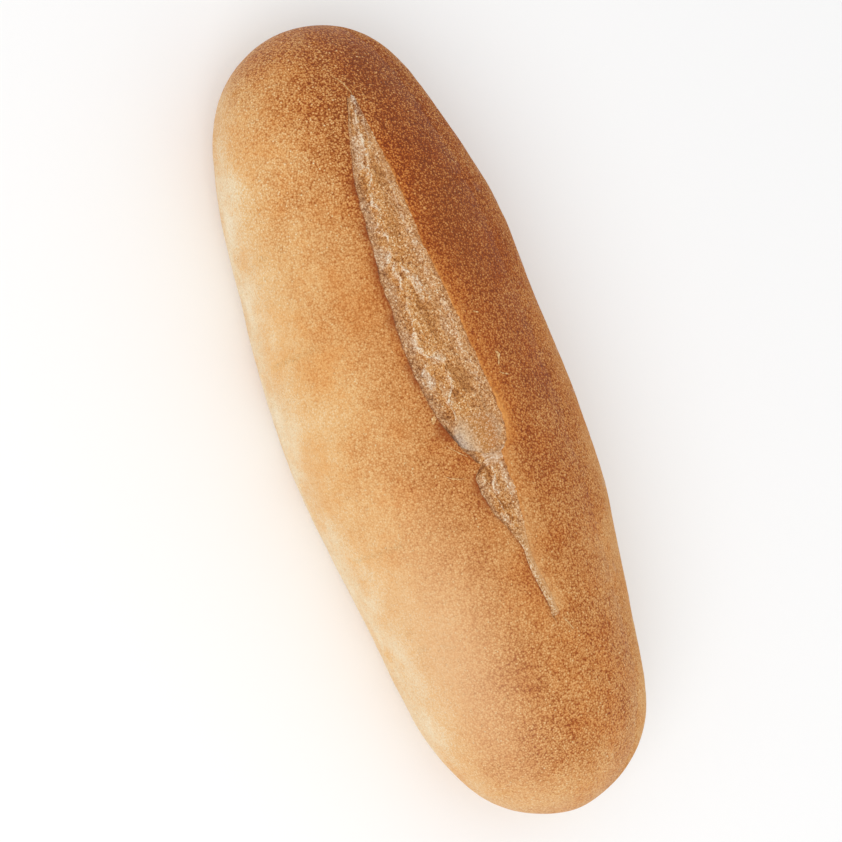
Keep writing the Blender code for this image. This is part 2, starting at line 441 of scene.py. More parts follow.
# Broad patches: x in metres, degrees from the top, length in metres, width in degrees, change
for where, turned, long, wide, change in (
    (-0.020, -42.0, 0.008, 14.0, 0.03),
    (0.010, -74.0, 0.014, 16.0, 0.11),
    (0.047, -45.0, 0.014, 22.0, -0.11),
    (0.045, 44.0, 0.012, 16.0, -0.10),
    (-0.060, -7.0, 0.010, 9.0, 0.08),
    (0.077, -60.0, 0.014, 34.0, 0.16),
    (-0.079, -67.0, 0.013, 28.0, 0.13),
    (-0.055, -50.0, 0.010, 26.0, 0.04),
    (0.020, -76.0, 0.012, 8.0, 0.04),
    (0.010, 25.0, 0.007, 8.0, -0.08),
    (-0.050, 32.0, 0.022, 15.0, 0.05),
    (0.000, 58.0, 0.045, 12.0, -0.06),
    (0.030, -11.0, 0.016, 8.0, -0.07),
    (-0.035, -32.0, 0.016, 16.0, -0.05),
    (-0.015, -94.0, 0.045, 9.0, -0.09),
):
    browning += change * bell(x - where, long) * bell(degrees - turned, wide)
# The two tips: share of the length, reach in metres, browning there, how fully it is reached
for tip_place, start, tip_browning, share in ((-0.5, 0.012, 0.76, 0.70), (0.5, 0.018, 0.41, 0.95)):
    near_tip = smooth_step(1.0 - np.abs(x - tip_place * LENGTH) / start)
    browning += (tip_browning - browning) * near_tip * share
browning = np.maximum(browning, 0.02 + 0.12 * smooth_step(degrees / 60.0))
browning += (PLAIN_BROWN - browning) * smooth_step((np.abs(degrees) - 116.0) / 44.0)
browning += (UNDER_BROWN - browning) * smooth_step((UNDER_HEIGHT - place[..., 2]) / 0.0022)
browning += layered(place, MOTTLING)
SCORCH_SHADE_REACH = 0.0026
LIGHT_REACH = 0.0036
WARM_REACH = 0.0045
beyond_far = np.maximum(to_far, 0.0)
beyond_near = np.maximum(to_near, 0.0)
beside_cut = smooth_step((x - CUT_START) / 0.006) * smooth_step((CUT_END - x) / 0.006)
far_light = bell(np.maximum(to_far - 0.0004, 0.0), LIGHT_REACH) * beside_cut
# Browner beside the near lip: scorched crust, and painted shade where the crust dips into the cut
lip_scorch_and_shade = bell(beyond_near, SCORCH_SHADE_REACH) * open_here
far_change = -(0.10 + 0.05 * smooth_step((x - 0.004) / 0.010)) * far_light
browning += np.where(in_burst, 0.0, far_change + 0.07 * lip_scorch_and_shade)
paint_on(crust, "warm", bell(beyond_far, WARM_REACH) * open_here * smooth_step((0.016 - x) / 0.010))
paint_on(crust, "rosy", bell(x - 0.050, 0.028) * bell(degrees + 54.0, 26.0))
paint_on(crust, "browning", browning)
grainy = 0.20 + 0.80 * smooth_step(browning + 0.05)
grainy *= 1.0 + (0.20 + 0.25 * (x < 0.0)) * smooth_step((np.abs(x) - 0.030) / 0.035)
paint_on(crust, "grainy", grainy)

# Colours along the lips: scorched red-brown with painted shade on the near one, golden with a painted
# highlight on the far one
NEAR_SCORCH_SHADE_REACH = 0.00095
POCKET_PLACE = 0.0038  # where the near lip stands away from the swelling, scorched and painted darker as shade
POCKET_LENGTH = 0.0021
POCKET_REACH = 0.0010
FAR_HIGHLIGHT_REACH = 0.00030
FAR_HIGHLIGHT_MORE_REACH = 0.0015
GOLDEN_PLACE = 0.004
GOLDEN_REACH = 0.0085
SEAM_SHADOW_LINE = 0.00042
SEAM_FRINGE = 0.0010
pocket = bell(x - POCKET_PLACE, POCKET_LENGTH)
scorched_and_shaded = 0.25 + pocket
# Where the near lip is scorched and painted darker as shade, and how far
for where, long in (
    (-0.0510, 0.0020),
    (-0.0415, 0.0025),
    (-0.0325, 0.0038),
    (-0.0225, 0.0050),
    (-0.0095, 0.0035),
    (0.0165, 0.0024),
    (0.0204, 0.0010),
):
    scorched_and_shaded += 0.75 * bell(x - where, long)
scorched_and_shaded = np.clip(scorched_and_shaded + 0.20 * along_noise(x, 0.0020, 24), 0.0, 1.0)
near_shade_reach = NEAR_SCORCH_SHADE_REACH * (0.5 + scorched_and_shaded) + POCKET_REACH * pocket
near_scorch_shade = bell(beyond_near, near_shade_reach) * scorched_and_shaded * open_here
# A painted shadow line along the near side of the shut seam, below its raised pale edge
near_scorch_shade = np.maximum(near_scorch_shade, bell(beyond_near, SEAM_SHADOW_LINE) * shut * (x > 0.0))
# The far lip's golden edge: its paler cut edge, with a painted highlight where it faces the light
golden = bell(x - GOLDEN_PLACE, GOLDEN_REACH)
patchy = np.where(x > -0.030, 0.75, 0.30) + 0.25 * along_noise(x, 0.0035, 25)
far_edge_and_highlight = bell(beyond_far, FAR_HIGHLIGHT_REACH) * np.maximum(patchy, golden)
far_edge_and_highlight = np.maximum(far_edge_and_highlight, 0.70 * bell(beyond_far, FAR_HIGHLIGHT_MORE_REACH) * golden)
# Near lip: scorched red-brown and painted shade, also on the near wall inside the burst
paint_on(crust, "near_lip", np.where(in_burst, (v < 0.5) * 0.5 * open_here, near_scorch_shade))
# Inside the burst the far wall also gets the paler cut edge and painted highlight
paint_on(crust, "far_lip", np.where(in_burst, (v > 0.5) * 0.8, far_edge_and_highlight) * open_here)
fringe = np.where(in_burst, 1.0, 0.7 * bell(beyond_far, SEAM_FRINGE))
paint_on(crust, "seam", fringe * shut * (x > 0.0))

along_top = ring_places(np.arange(CRUST_RINGS + 1), CRUST_RINGS, -0.5 * LENGTH, 0.5 * LENGTH)
along = run_length(np.stack([along_top, half_width(along_top)], axis=-1))
turn_k = np.arange(CRUST_COLUMNS + 1) / CRUST_COLUMNS
around = turn_k + 0.45 * np.sin(TURN * turn_k) / TURN
unroll(crust, ring, seam_column, along, around)

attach(crust, "root")
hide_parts("bread_roll")


class Value:
    """A number or colour that varies over a surface; arithmetic on it adds Math nodes."""

    def __init__(self, finish, socket):
        self.finish = finish
        self.socket = socket

    def math(self, operation, first, second):
        return self.finish.node("ShaderNodeMath", {"operation": operation}, {0: first, 1: second})

    def __add__(self, other):
        return self.math("ADD", self, other)

    def __radd__(self, other):
        return self.math("ADD", other, self)

    def __sub__(self, other):
        return self.math("SUBTRACT", self, other)

    def __rsub__(self, other):
        return self.math("SUBTRACT", other, self)

    def __mul__(self, other):
        return self.math("MULTIPLY", self, other)

    def __rmul__(self, other):
        return self.math("MULTIPLY", other, self)


def paint(code):
    """A colour from its usual six-digit code, as the light that it sends back."""
    shares = [int(code[place : place + 2], 16) / 255.0 for place in (0, 2, 4)]
    light = [((share + 0.055) / 1.055) ** 2.4 if share > 0.04 else share / 12.92 for share in shares]
    return (*light, 1.0)


class Finish:
    """A material under construction: one method adds any node, the others are short for common ones."""

    def __init__(self, piece, name):
        material = bpy.data.materials.new(name)
        material.use_nodes = True
        self.nodes = material.node_tree.nodes
        self.links = material.node_tree.links
        self.surface = self.nodes["Principled BSDF"]
        self.place = self.node("ShaderNodeTexCoord", {}, {}, "Object")
        piece.data.materials.clear()
        piece.data.materials.append(material)

    def connect(self, node, sockets):
        for key, value in sockets.items():
            if isinstance(value, Value):
                self.links.new(value.socket, node.inputs[key])
            else:
                node.inputs[key].default_value = value

    def node(self, kind, settings, sockets, output=0):
        made = self.nodes.new(kind)
        for key, setting in settings.items():
            if key == "stops":
                stops = made.color_ramp.elements
                stops[0].position, stops[0].color = setting[0]
                stops[1].position, stops[1].color = setting[-1]
                for position, colour in setting[1:-1]:
                    stops.new(position).color = colour
            else:
                setattr(made, key, setting)
        self.connect(made, sockets)
        return Value(self, made.outputs[output])

    def painted(self, name):
        return self.node("ShaderNodeAttribute", {"attribute_name": name}, {}, "Fac")

    def grain(self, width, detail=2.0, roughness=0.5, stretch=None):
        """Noise of about -1 to 1 whose grains are about as wide as width."""
        place = self.place
        if stretch:
            place = self.node("ShaderNodeMapping", {}, {"Vector": place, "Scale": stretch})
        sockets = {"Vector": place, "Scale": 1.0 / width, "Detail": detail, "Roughness": roughness}
        return (self.node("ShaderNodeTexNoise", {}, sockets) - 0.5) * 2.6

    def between(self, value, start, end):
        """0 where value is at start, 1 where it is at end, eased between."""
        sockets = {0: value, 1: start, 2: end}
        return self.node("ShaderNodeMapRange", {"interpolation_type": "SMOOTHSTEP"}, sockets)

    def mix(self, factor, first, second, blend="MIX"):
        settings = {"data_type": "RGBA", "blend_type": blend, "clamp_factor": True}
        return self.node("ShaderNodeMix", settings, {0: factor, 6: first, 7: second}, 2)

    def ramp(self, value, *stops):
        stops = [(position, paint(code)) for position, code in stops]
        return self.node("ShaderNodeValToRGB", {"stops": stops}, {0: value})

    def bump(self, height, distance, before=None):
        sockets = {"Height": height, "Distance": distance, "Strength": 1.0}
        if before:
            sockets["Normal"] = before
        return self.node("ShaderNodeBump", {}, sockets)


def cells(finish, width):
    """Small cells about as wide as width: how far a point is from its cell's middle, and a random number."""
    dots = {"Vector": finish.place, "Scale": 1.0 / width, "Randomness": 1.0}
    away = finish.node("ShaderNodeTexVoronoi", {}, dots, "Distance")
    drawn = finish.node("ShaderNodeTexVoronoi", {}, dots, "Color")
    return away, finish.node("ShaderNodeSeparateColor", {}, {0: drawn}, 0)


def blisters(finish, width, kept):
    """Round dots about a third of width across; kept is the share of them that are there."""
    away, chance = cells(finish, width)
    return finish.between(away, 0.38, 0.10) * finish.between(chance, 1.0 - kept, 1.4 - kept)


PALEST = -0.10  # the browning that takes the first colour of the ramp
BROWN_RANGE = 1.40  # and how much more of it takes the last
FINE_RELIEF = 0.06 * MM
BLISTER_RELIEF = 0.08 * MM
baked = Finish(crust, "baked_crust")
shade = baked.painted("browning")
fine = baked.grain(0.00030, 1.0, 0.5)
freckle = baked.grain(0.0010, 2.0, 0.55)
patch = baked.grain(0.0048, 3.0, 0.55)
broad = baked.grain(0.015, 2.0, 0.5)
away, chance = cells(baked, 0.00042)
crumbs = 1.2 * (0.5 - away) + 0.45 * (chance - 0.5)
blister = blisters(baked, 0.00080, 0.80)
strength = baked.painted("grainy")
shade = shade + 0.040 * broad + 0.040 * patch - strength * (0.24 * fine + 0.67 * crumbs)
shade = shade - (0.32 * strength - 0.06) * blister
colour = baked.ramp(
    (shade - PALEST) * (1.0 / BROWN_RANGE),
    (0.00, "f3e2c5"),
    (0.08, "ebd4ae"),
    (0.18, "e5bd88"),
    (0.29, "ddab6f"),
    (0.39, "d2985d"),
    (0.50, "c48449"),
    (0.59, "b7783d"),
    (0.66, "ab622a"),
    (0.73, "9d5321"),
    (0.80, "90481a"),
    (1.00, "7a3a12"),
)
rosy = baked.painted("rosy")
warmth = 0.50 * baked.between(patch + broad, -0.4, 0.8) + 0.75 * baked.painted("warm") - 0.50 * rosy
colour = baked.mix(warmth, colour, paint("ffe6c0"), "MULTIPLY")
colour = baked.mix(0.42 * rosy, colour, paint("dcb08a"))
# Near lip red-brown: scorch and painted shade
colour = baked.mix(baked.painted("near_lip") * (0.80 + 0.3 * freckle), colour, paint("8e4114"))
# Golden far lip: paler cut edge and painted highlight
lip_edge_and_highlight = baked.painted("far_lip") * (0.85 + 0.30 * freckle)
colour = baked.mix(lip_edge_and_highlight, colour, baked.mix(lip_edge_and_highlight, paint("d08238"), paint("eeb266")))
colour = baked.mix(baked.painted("seam") * (0.55 + 0.35 * freckle), colour, paint("d3a36c"))
roughness = 0.58 + 0.05 * freckle - 0.05 * fine
normal = baked.bump(crumbs + fine, FINE_RELIEF)
normal = baked.bump(freckle + blister * 0.7, BLISTER_RELIEF, normal)
baked.connect(baked.surface, {"Base Color": colour, "Roughness": roughness, "Normal": normal})
baked.connect(baked.surface, {"Specular IOR Level": 0.10, "Sheen Weight": 0.10, "Sheen Roughness": 0.5})

# ------------------------------------------------------------------------------------------------
# Crumb: the soft inside of the roll where the burst laid it bare. It tore lengthwise as the lips drew
# apart, so it has long ragged edges, small pits and one smooth swelling, and it is the same dough as
# the crust, dried and lightly toasted in the oven.
# ------------------------------------------------------------------------------------------------

CRUMB_RINGS = 660
CRUMB_COLUMNS = 144
TOP_COLUMNS = 120
CRUMB_START = -0.0734
CRUMB_END = 0.0500
UNDER_NEAR = 0.00035
UNDER_FAR = 0.00030
SEAM_PROUD = 0.00022
BURY_DEPTH = 0.0012
BURY_LENGTH = 0.0022
CRUMB_THICK = 0.0007
BOTTOM_DEPTH = 0.0021
DOME_PLACE = 0.0057
DOME_HALF = 0.0045
DOME_SLOW = 1.15  # how much further it reaches towards -X
DOME_ACROSS = 0.47
DOME_SINK = 1.20
BRIDGE_START = 0.0099
BRIDGE_END = 0.0136
CREVICE_PLACE = 0.0129
CREVICE_REACH = 0.0008
CRUSTY_START = -0.0590  # towards -X from here the far half of the crumb is baked like the crust
CRUSTY_LENGTH = 0.007
PIT_COUNT = 380

crumb, ring, seam_column = add_ball("crumb", CRUMB_RINGS, CRUMB_COLUMNS)
CRUMB_SEAM = TOP_COLUMNS + (CRUMB_COLUMNS - TOP_COLUMNS) // 2
column = (seam_column + CRUMB_SEAM) % CRUMB_COLUMNS
x = CRUMB_START + (CRUMB_END - CRUMB_START) * ring / CRUMB_RINGS
near_angle, far_angle = lip_angles(x)
opening = (far_angle - near_angle) * section_radius(x, 0.0 * x)
on_top = column <= TOP_COLUMNS
v = np.where(on_top, column / TOP_COLUMNS, 1.0 - (column - TOP_COLUMNS) / (CRUMB_COLUMNS - TOP_COLUMNS))
reach_under = UNDER_FAR * v**8 - UNDER_NEAR * (1.0 - v) ** 8
open_here = openness(np.clip(x, CUT_START, CUT_END))
middle = skin_point(x, near_angle + (far_angle - near_angle) * v, 0.0)
ragged = lumps(middle, 0.0014, 81) + 0.6 * lumps(middle, 0.0006, 82)

# The swelling of smooth crumb at the wide opening's +X end
softness = np.where(x > DOME_PLACE, 0.20, 0.60)
half = np.where(x > DOME_PLACE, DOME_HALF, DOME_SLOW * DOME_HALF)
dome = 1.0 - ((x - DOME_PLACE) / half) ** 2 - ((v - DOME_ACROSS) / 0.50) ** 2
dome = np.clip(dome + np.where(x > DOME_PLACE, 0.02, 0.10) * ragged, 0.0, 1.0)
smooth = smooth_step(dome / softness)
rough = 1.0 - 0.92 * smooth


def torn_edge(line, fall, seed):
    """A torn sheet's ragged edge through (x in mm, share across) points, and the slope behind it."""
    places, shares = zip(*line)
    edge = np.interp(x / MM, places, shares) * opening / MM
    edge += 0.22 * along_noise(x, 0.0021, seed) + 0.12 * along_noise(x, 0.0008, seed + 1)
    behind = v * opening / MM - edge
    here = smooth_step((x / MM - places[0]) / 1.4) * smooth_step((places[-1] - x / MM) / 1.4)
    crest = here * bell(behind - 0.10, 0.32 + 0.18 * along_noise(x, 0.0011, seed + 2))
    behind_it = here * smooth_step(behind / 0.30 + 1.0) * np.exp(-np.clip(behind, 0.0, None) / fall)
    return crest, behind_it


TORN_SHEETS = (
    # height in mm, how gently it falls behind (mm), seed, then (x in mm, share across) along its edge
    (0.60, 1.1, 31, (-73.0, 0.50), (-68, 0.49), (-66, 0.47), (-62.6, 0.45),
     (-60, 0.52), (-57, 0.51), (-54.8, 0.42), (-51.6, 0.28)),
    (0.50, 1.2, 41, (-53, 0.43), (-50.6, 0.37), (-49.2, 0.24), (-48, 0.21),
     (-45.5, 0.28), (-43.7, 0.32), (-41.3, 0.22), (-39.2, 0.20)),
    (0.50, 1.1, 51, (-40.4, 0.28), (-38.7, 0.36), (-37, 0.30), (-35.2, 0.27), (-33.8, 0.21), (-32.2, 0.05)),
    (0.45, 0.9, 61, (-34.0, 0.28), (-32.6, 0.38), (-31, 0.47), (-28, 0.58),
     (-25.6, 0.63), (-24.2, 0.66), (-22.4, 0.52)),
    (0.40, 0.8, 71, (-34, 0.27), (-31, 0.26), (-29.5, 0.29), (-28, 0.26),
     (-26, 0.30), (-24, 0.26), (-21, 0.29)),
    (0.60, 1.5, 91, (-22, 0.22), (-19.2, 0.26), (-16.8, 0.21), (-15, 0.20),
     (-13.4, 0.25), (-12.5, 0.29), (-11.9, 0.40), (-9.8, 0.49)),
    (0.50, 1.1, 101, (-9.0, 0.46), (-6.5, 0.45), (-5.1, 0.43), (-3.8, 0.34),
     (-2.6, 0.28), (0.6, 0.26), (2.6, 0.22)),
    (0.35, 1.3, 111, (-12.5, 0.26), (-11, 0.21), (-9, 0.10), (-7.5, 0.08), (-6, 0.14), (-5, 0.24)),
    (0.40, 0.7, 121, (12.2, 0.30), (13.2, 0.46), (14.6, 0.57), (15.7, 0.52),
     (16.5, 0.42), (17.8, 0.41), (19.8, 0.50)),
    (0.35, 0.6, 131, (18.8, 0.26), (21, 0.28), (23.5, 0.31), (25.3, 0.26), (27.5, 0.25)),
    (0.16, 0.9, 141, (-66, 0.75), (-58, 0.72), (-50, 0.84), (-42, 0.78), (-34, 0.88),
     (-27, 0.80), (-20, 0.87), (-12, 0.80), (-2, 0.9)),
)
relief = 0.0 * x
crest = 0.0 * x
sheet = 0.0 * x
for height, fall, seed, *line in TORN_SHEETS:
    edge, behind_it = torn_edge(line, fall, seed)
    relief += height * behind_it
    plain = min(2.2 * height, 1.0)
    sheet = np.maximum(sheet, behind_it * plain)
    whole = 0.70 + 0.60 * smooth_step((-0.056 - x) / 0.004)
    broken_edge = smooth_step(whole + 0.7 * lumps(middle, 0.0024, seed + 3) + 0.6 * ragged)
    crest = np.maximum(crest, edge * plain * broken_edge)


def spots(ovals):
    """The strongest of ragged ovals: x in mm, share across, half length and half width in mm, amount."""
    strongest = 0.0 * x
    for where, share, long, wide, amount in ovals:
        along = (x / MM - where) / long
        aside = (v - share) * opening / MM / wide
        inside = smooth_step((1.25 - np.hypot(along, aside) + 0.22 * ragged) / 0.5)
        strongest = np.maximum(strongest, amount * inside)
    return strongest


# Smooth pale sheets, and hollows whose crumb is toasted brown and painted darker as shade
PALE_SHEETS = (
    (-57.6, 0.28, 3.8, 1.3, 0.85),
    (-63.0, 0.38, 2.6, 0.7, 0.60),
    (-68.4, 0.30, 1.6, 0.3, 0.50),
    (-44.0, 0.13, 3.6, 0.8, 0.50),
    (-35.2, 0.15, 2.2, 1.5, 0.65),
    (-26.8, 0.55, 2.7, 0.8, 0.80),
    (-29.8, 0.47, 1.3, 0.7, 0.60),
    (-27.5, 0.13, 3.0, 0.8, 0.35),
    (-17.2, 0.74, 2.2, 1.0, 0.40),
    (-17.0, 0.12, 3.0, 0.7, 0.40),
    (-8.1, 0.17, 2.6, 0.9, 0.95),
    (-11.6, 0.42, 1.3, 1.5, 0.45),
    (-4.5, 0.30, 2.2, 0.8, 0.40),
    (-35.6, 0.87, 0.9, 0.6, 0.60),
    (16.6, 0.20, 2.9, 0.9, 0.40),
    (24.6, 0.24, 1.5, 0.6, 0.75),
    (16.5, 0.86, 4.5, 0.6, 0.60),
    (17.0, 0.50, 1.8, 0.5, 0.60),
)
HOLLOWS = (
    (-51.0, 0.72, 2.9, 1.2, 0.75),
    (-55.6, 0.64, 1.5, 0.9, 0.50),
    (-66.8, 0.68, 2.0, 0.5, 0.60),
    (-60.5, 0.78, 2.2, 0.6, 0.35),
    (-41.0, 0.58, 3.0, 0.8, 0.35),
    (-30.1, 0.39, 0.8, 0.4, 1.00),
    (-23.2, 0.48, 0.8, 0.75, 1.00),
    (-24.8, 0.51, 0.4, 0.4, 0.80),
    (-19.4, 0.54, 2.8, 0.9, 0.50),
    (-22.2, 0.70, 1.0, 1.4, 0.35),
    (-5.8, 0.66, 3.1, 2.0, 0.80),
    (-8.3, 0.56, 1.5, 1.0, 0.60),
    (-3.2, 0.46, 1.1, 0.6, 0.75),
    (0.3, 0.15, 0.8, 0.6, 0.50),
    (14.5, 0.37, 1.1, 0.8, 0.75),
    (20.2, 0.38, 0.75, 0.6, 0.70),
    (22.1, 0.44, 0.85, 0.5, 0.70),
    (28.4, 0.40, 0.7, 0.4, 0.70),
)
pale = spots(PALE_SHEETS)
hollow = spots(HOLLOWS) * (1.0 - 0.8 * np.minimum(crest, 1.0))

# Small pits left by torn bubbles
chance = np.random.RandomState(5)
pit = 0.0 * x
for _ in range(PIT_COUNT):
    where, share = chance.uniform(-70, 34), chance.uniform(0.06, 0.75)
    size = 0.16 + 0.26 * chance.uniform() ** 2
    beside = np.abs(x / MM - where) < 3.0 * size
    aside = (v[beside] - share) * opening[beside] / MM / size
    away = np.hypot((x[beside] / MM - where) / (1.4 * size), aside) + 0.2 * ragged[beside]
    pit[beside] = np.maximum(pit[beside], smooth_step(1.3 - away) * min(size / 0.35, 1.0))

# The rest of its relief, in mm, and how deep all of it lies below the crust's surface
broken = 1.0 - 2.0 * np.abs(lumps(middle, (0.0032, 0.0012, 0.0012), 72))
flaky = 1.0 - 2.0 * np.abs(lumps(middle, (0.0013, 0.0007, 0.0007), 76))
grainy = 0.10 * broken + 0.10 * flaky
grainy += 0.07 * lumps(middle, 0.0010, 73)
grainy += 0.11 * lumps(middle, 0.0005, 74)
bridge = smooth_step((x - BRIDGE_START + 0.00035 * ragged) / 0.0010)
bridge = bridge * smooth_step((BRIDGE_END - x + 0.0007 * ragged) / 0.0018)
bridge = bridge * smooth_step((v - 0.16 + 0.08 * ragged) / 0.20)
crevice = bell(x - CREVICE_PLACE, CREVICE_REACH) * bell(v - 0.10, 0.12)
relief += 0.12 * lumps(middle, (0.007, 0.0035, 0.0035), 71) + 0.10 * pale - 0.30 * hollow - 0.18 * pit
relief = rough * (relief + grainy * (1.0 - 0.5 * pale)) * (1.0 - 0.6 * bridge)
relief = relief + 0.25 * bridge - 0.35 * crevice

depth = 0.22 + 0.34 * smooth_step(v / 0.16) - 0.28 * smooth_step((v - 0.80) / 0.20) - relief
dome_top = DOME_SINK - DOME_SINK * np.sqrt(dome) + 0.05 * lumps(middle, 0.0008, 78)
depth = depth + (dome_top - depth) * smooth
tip_relief = smooth_step((x - CUT_START) / 0.0020) * (x < 0.0)
tip_relief = tip_relief * smooth_step(v / 0.2) * smooth_step((1.0 - v) / 0.3)
depth += 0.8 * bell(x - POCKET_PLACE, POCKET_LENGTH) * smooth_step((0.08 - v) / 0.05)
seam_ridge = SEAM_PROUD * np.sin(math.pi * np.clip(v, 0.0, 1.0) ** 0.8) ** 0.7
seam_ridge = seam_ridge * (1.0 + 1.2 * bell(x - KNOB_PLACE, KNOB_REACH))
seam_ridge = seam_ridge * (0.8 + 0.4 * along_noise(x, 0.0016, 79)) + 0.05 * MM * lumps(middle, 0.0006, 80)
seam_ridge = seam_ridge * smooth_step((x - CUT_START) / SHUT_EASE)
depth = depth * MM * open_here - seam_ridge * (1.0 - open_here)
depth -= 0.8 * MM * relief * tip_relief * (1.0 - open_here)
bury = smooth_step((CUT_START + BURY_LENGTH - x) / BURY_LENGTH)
bury = bury + smooth_step((x - CUT_END + BURY_LENGTH) / BURY_LENGTH)
depth = depth + BURY_DEPTH * bury
bottom = np.maximum(depth, BOTTOM_DEPTH * open_here) + CRUMB_THICK
depth = np.where(on_top, depth, depth + (bottom - depth) * np.sin(math.pi * v) ** 0.35)
turned = near_angle + (far_angle - near_angle) * v + (0.25 + 0.75 * open_here) * reach_under / CROWN_RADIUS
turned += rough * open_here * 0.10 * MM * lumps(middle, 0.0008, 75) / CROWN_RADIUS
points = skin_point(x, turned, -depth + unevenness(x, turned))
tip = (ring == 0) | (ring == CRUMB_RINGS)
centre = skin_point(x, 0.5 * (near_angle + far_angle), -BURY_DEPTH - 0.5 * CRUMB_THICK + 0.0 * x)
points[tip] = centre[tip]
lay_over(crumb, points)

paint_on(crumb, "crest", rough * np.minimum(crest, 1.0) * (1.0 - bridge))
paint_on(crumb, "pale", rough * pale)
paint_on(crumb, "sheet", rough * sheet)
paint_on(crumb, "bridge", bridge * rough)
paint_on(crumb, "pit", rough * pit)
# hollow: the hollows and the crevice, painted darker as shade in the crumb's colour
paint_on(crumb, "hollow", np.maximum(hollow * rough, crevice))
paint_on(crumb, "dome", smooth)
paint_on(crumb, "across", v)
far_half = smooth_step((v - 0.44 + 0.12 * ragged) / 0.18)
paint_on(crumb, "crusty", smooth_step((CRUSTY_START - x) / CRUSTY_LENGTH) * far_half)
paint_on(crumb, "grainy", rough * grainy)
paint_on(crumb, "shut", (1.0 - open_here) * (x > 0.0))
along = np.arange(CRUMB_RINGS + 1) / CRUMB_RINGS
around = np.arange(CRUMB_COLUMNS + 1) / CRUMB_COLUMNS
unroll(crumb, ring, seam_column, along, around)

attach(crumb, "root")

torn = Finish(crumb, "torn_crumb")
fine = torn.grain(0.00032, 2.0, 0.6)
coarse = torn.grain(0.0008, 2.0, 0.6)
mottle = torn.grain(0.0042, 3.0, 0.6)
tint = torn.grain(0.00055, 1.0, 0.5)
away, chance = cells(torn, 0.00042)
grit = 0.85 * fine + 0.8 * (0.5 - away) + 0.40 * (chance - 0.5)
across = torn.painted("across")
shut = torn.painted("shut")
tone = 0.46 + 0.03 * mottle + 0.03 * coarse + 0.58 * grit + 0.18 * torn.painted("grainy")
tone = tone + 0.14 * torn.painted("pale") + 0.12 * torn.painted("sheet")
# Darker in the hollows, the crevice and the pits: painted shade in these recesses
tone = tone - 0.10 * torn.painted("hollow") - 0.15 * torn.painted("pit")
# Darker towards the near lip: painted shade from the lip
tone = tone - 0.06 * torn.between(across, 0.30, 0.05)
colour = torn.ramp(
    tone,
    (0.00, "74421a"),
    (0.18, "965c29"),
    (0.36, "ba7b3e"),
    (0.50, "cc9354"),
    (0.64, "dcac76"),
    (0.80, "e8ca9c"),
    (1.00, "f7ead2"),
)
greyish = torn.ramp(tone, (0.10, "7c5a41"), (0.45, "ba9b80"), (0.70, "d8c3ac"), (0.95, "f2e8da"))
# Greyer by the near lip: paler crumb and painted shade under the lip
near_grey_and_shade = torn.between(across, 0.24, 0.06) * (1.0 - shut) * 0.30
far_band = torn.between(across, 0.50, 0.85) * 0.18
colour = torn.mix(near_grey_and_shade, colour, greyish)
colour = torn.mix(far_band, colour, greyish)
colour = torn.mix(torn.between(tint, 0.0, 0.5) * 0.25, colour, greyish)
colour = torn.mix(torn.painted("pale") * 0.55, colour, greyish)
# Browner in the hollows and the crevice: toasted crumb and painted shade
hollow_shade_colour = torn.ramp(tone, (0.10, "8c5326"), (0.60, "c48a4c"))
colour = torn.mix(torn.painted("hollow") * 0.65, colour, hollow_shade_colour)
strands = 0.5 + 0.5 * torn.grain(0.0005, 2.0, 0.5, (1.0, 0.25, 0.25)) + 0.3 * grit
pinkish = torn.ramp(strands, (0.20, "ad7c52"), (0.50, "d2ae8a"), (0.85, "f2e2d0"))
colour = torn.mix(torn.painted("bridge") * 0.80, colour, pinkish)
seam_light = torn.ramp(0.5 + 0.9 * grit, (0.10, "a26d3c"), (0.55, "d2aa7c"), (0.90, "ebd7ba"))
seam_light = torn.mix(torn.between(across, 0.30, 0.80) * 0.85, seam_light, paint("cf9b64"))
colour = torn.mix(shut * torn.between(shut, 0.3, 0.9) * 0.85, colour, seam_light)
scraps = torn.ramp(0.5 + 0.7 * grit, (0.20, "6f3c20"), (0.50, "a4653a"), (0.75, "d9b48c"))
colour = torn.mix(torn.painted("crusty") * 0.85, colour, scraps)
crest_light = torn.painted("crest") * torn.between(coarse + 1.5 * grit, -0.8, 0.4) * 0.90
colour = torn.mix(crest_light, colour, paint("f5e6cd"))
dome_colour = torn.ramp(
    across + 0.05 * coarse,
    # Darkest at the near rim: painted shade under the swelling's overhang
    (0.00, "a08064"),
    (0.07, "bfa995"),
    (0.22, "ceac87"),
    (0.42, "c58b4f"),
    (0.72, "c08148"),
    (0.90, "cca47c"),
)
dome_colour = torn.mix(torn.between(grit, 0.0, 0.5) * 0.52, dome_colour, paint("eed8b8"))
dome_colour = torn.mix(torn.between(grit, 0.0, -0.5) * 0.52, dome_colour, paint("74471f"))
colour = torn.mix(torn.painted("dome"), colour, dome_colour)
normal = torn.bump(fine, 0.07 * MM)
normal = torn.bump(coarse, 0.06 * MM, normal)
torn.connect(torn.surface, {"Base Color": colour, "Roughness": 0.80 + 0.04 * coarse, "Normal": normal})
torn.connect(torn.surface, {"Specular IOR Level": 0.25})

# ------------------------------------------------------------------------------------------------
# Flakes: shreds of the thin outer skin that came loose while the roll swelled: threads by the ends of
# the cut and a few papery scraps. They are baked dough like the crust, and still stick to it.
# ------------------------------------------------------------------------------------------------

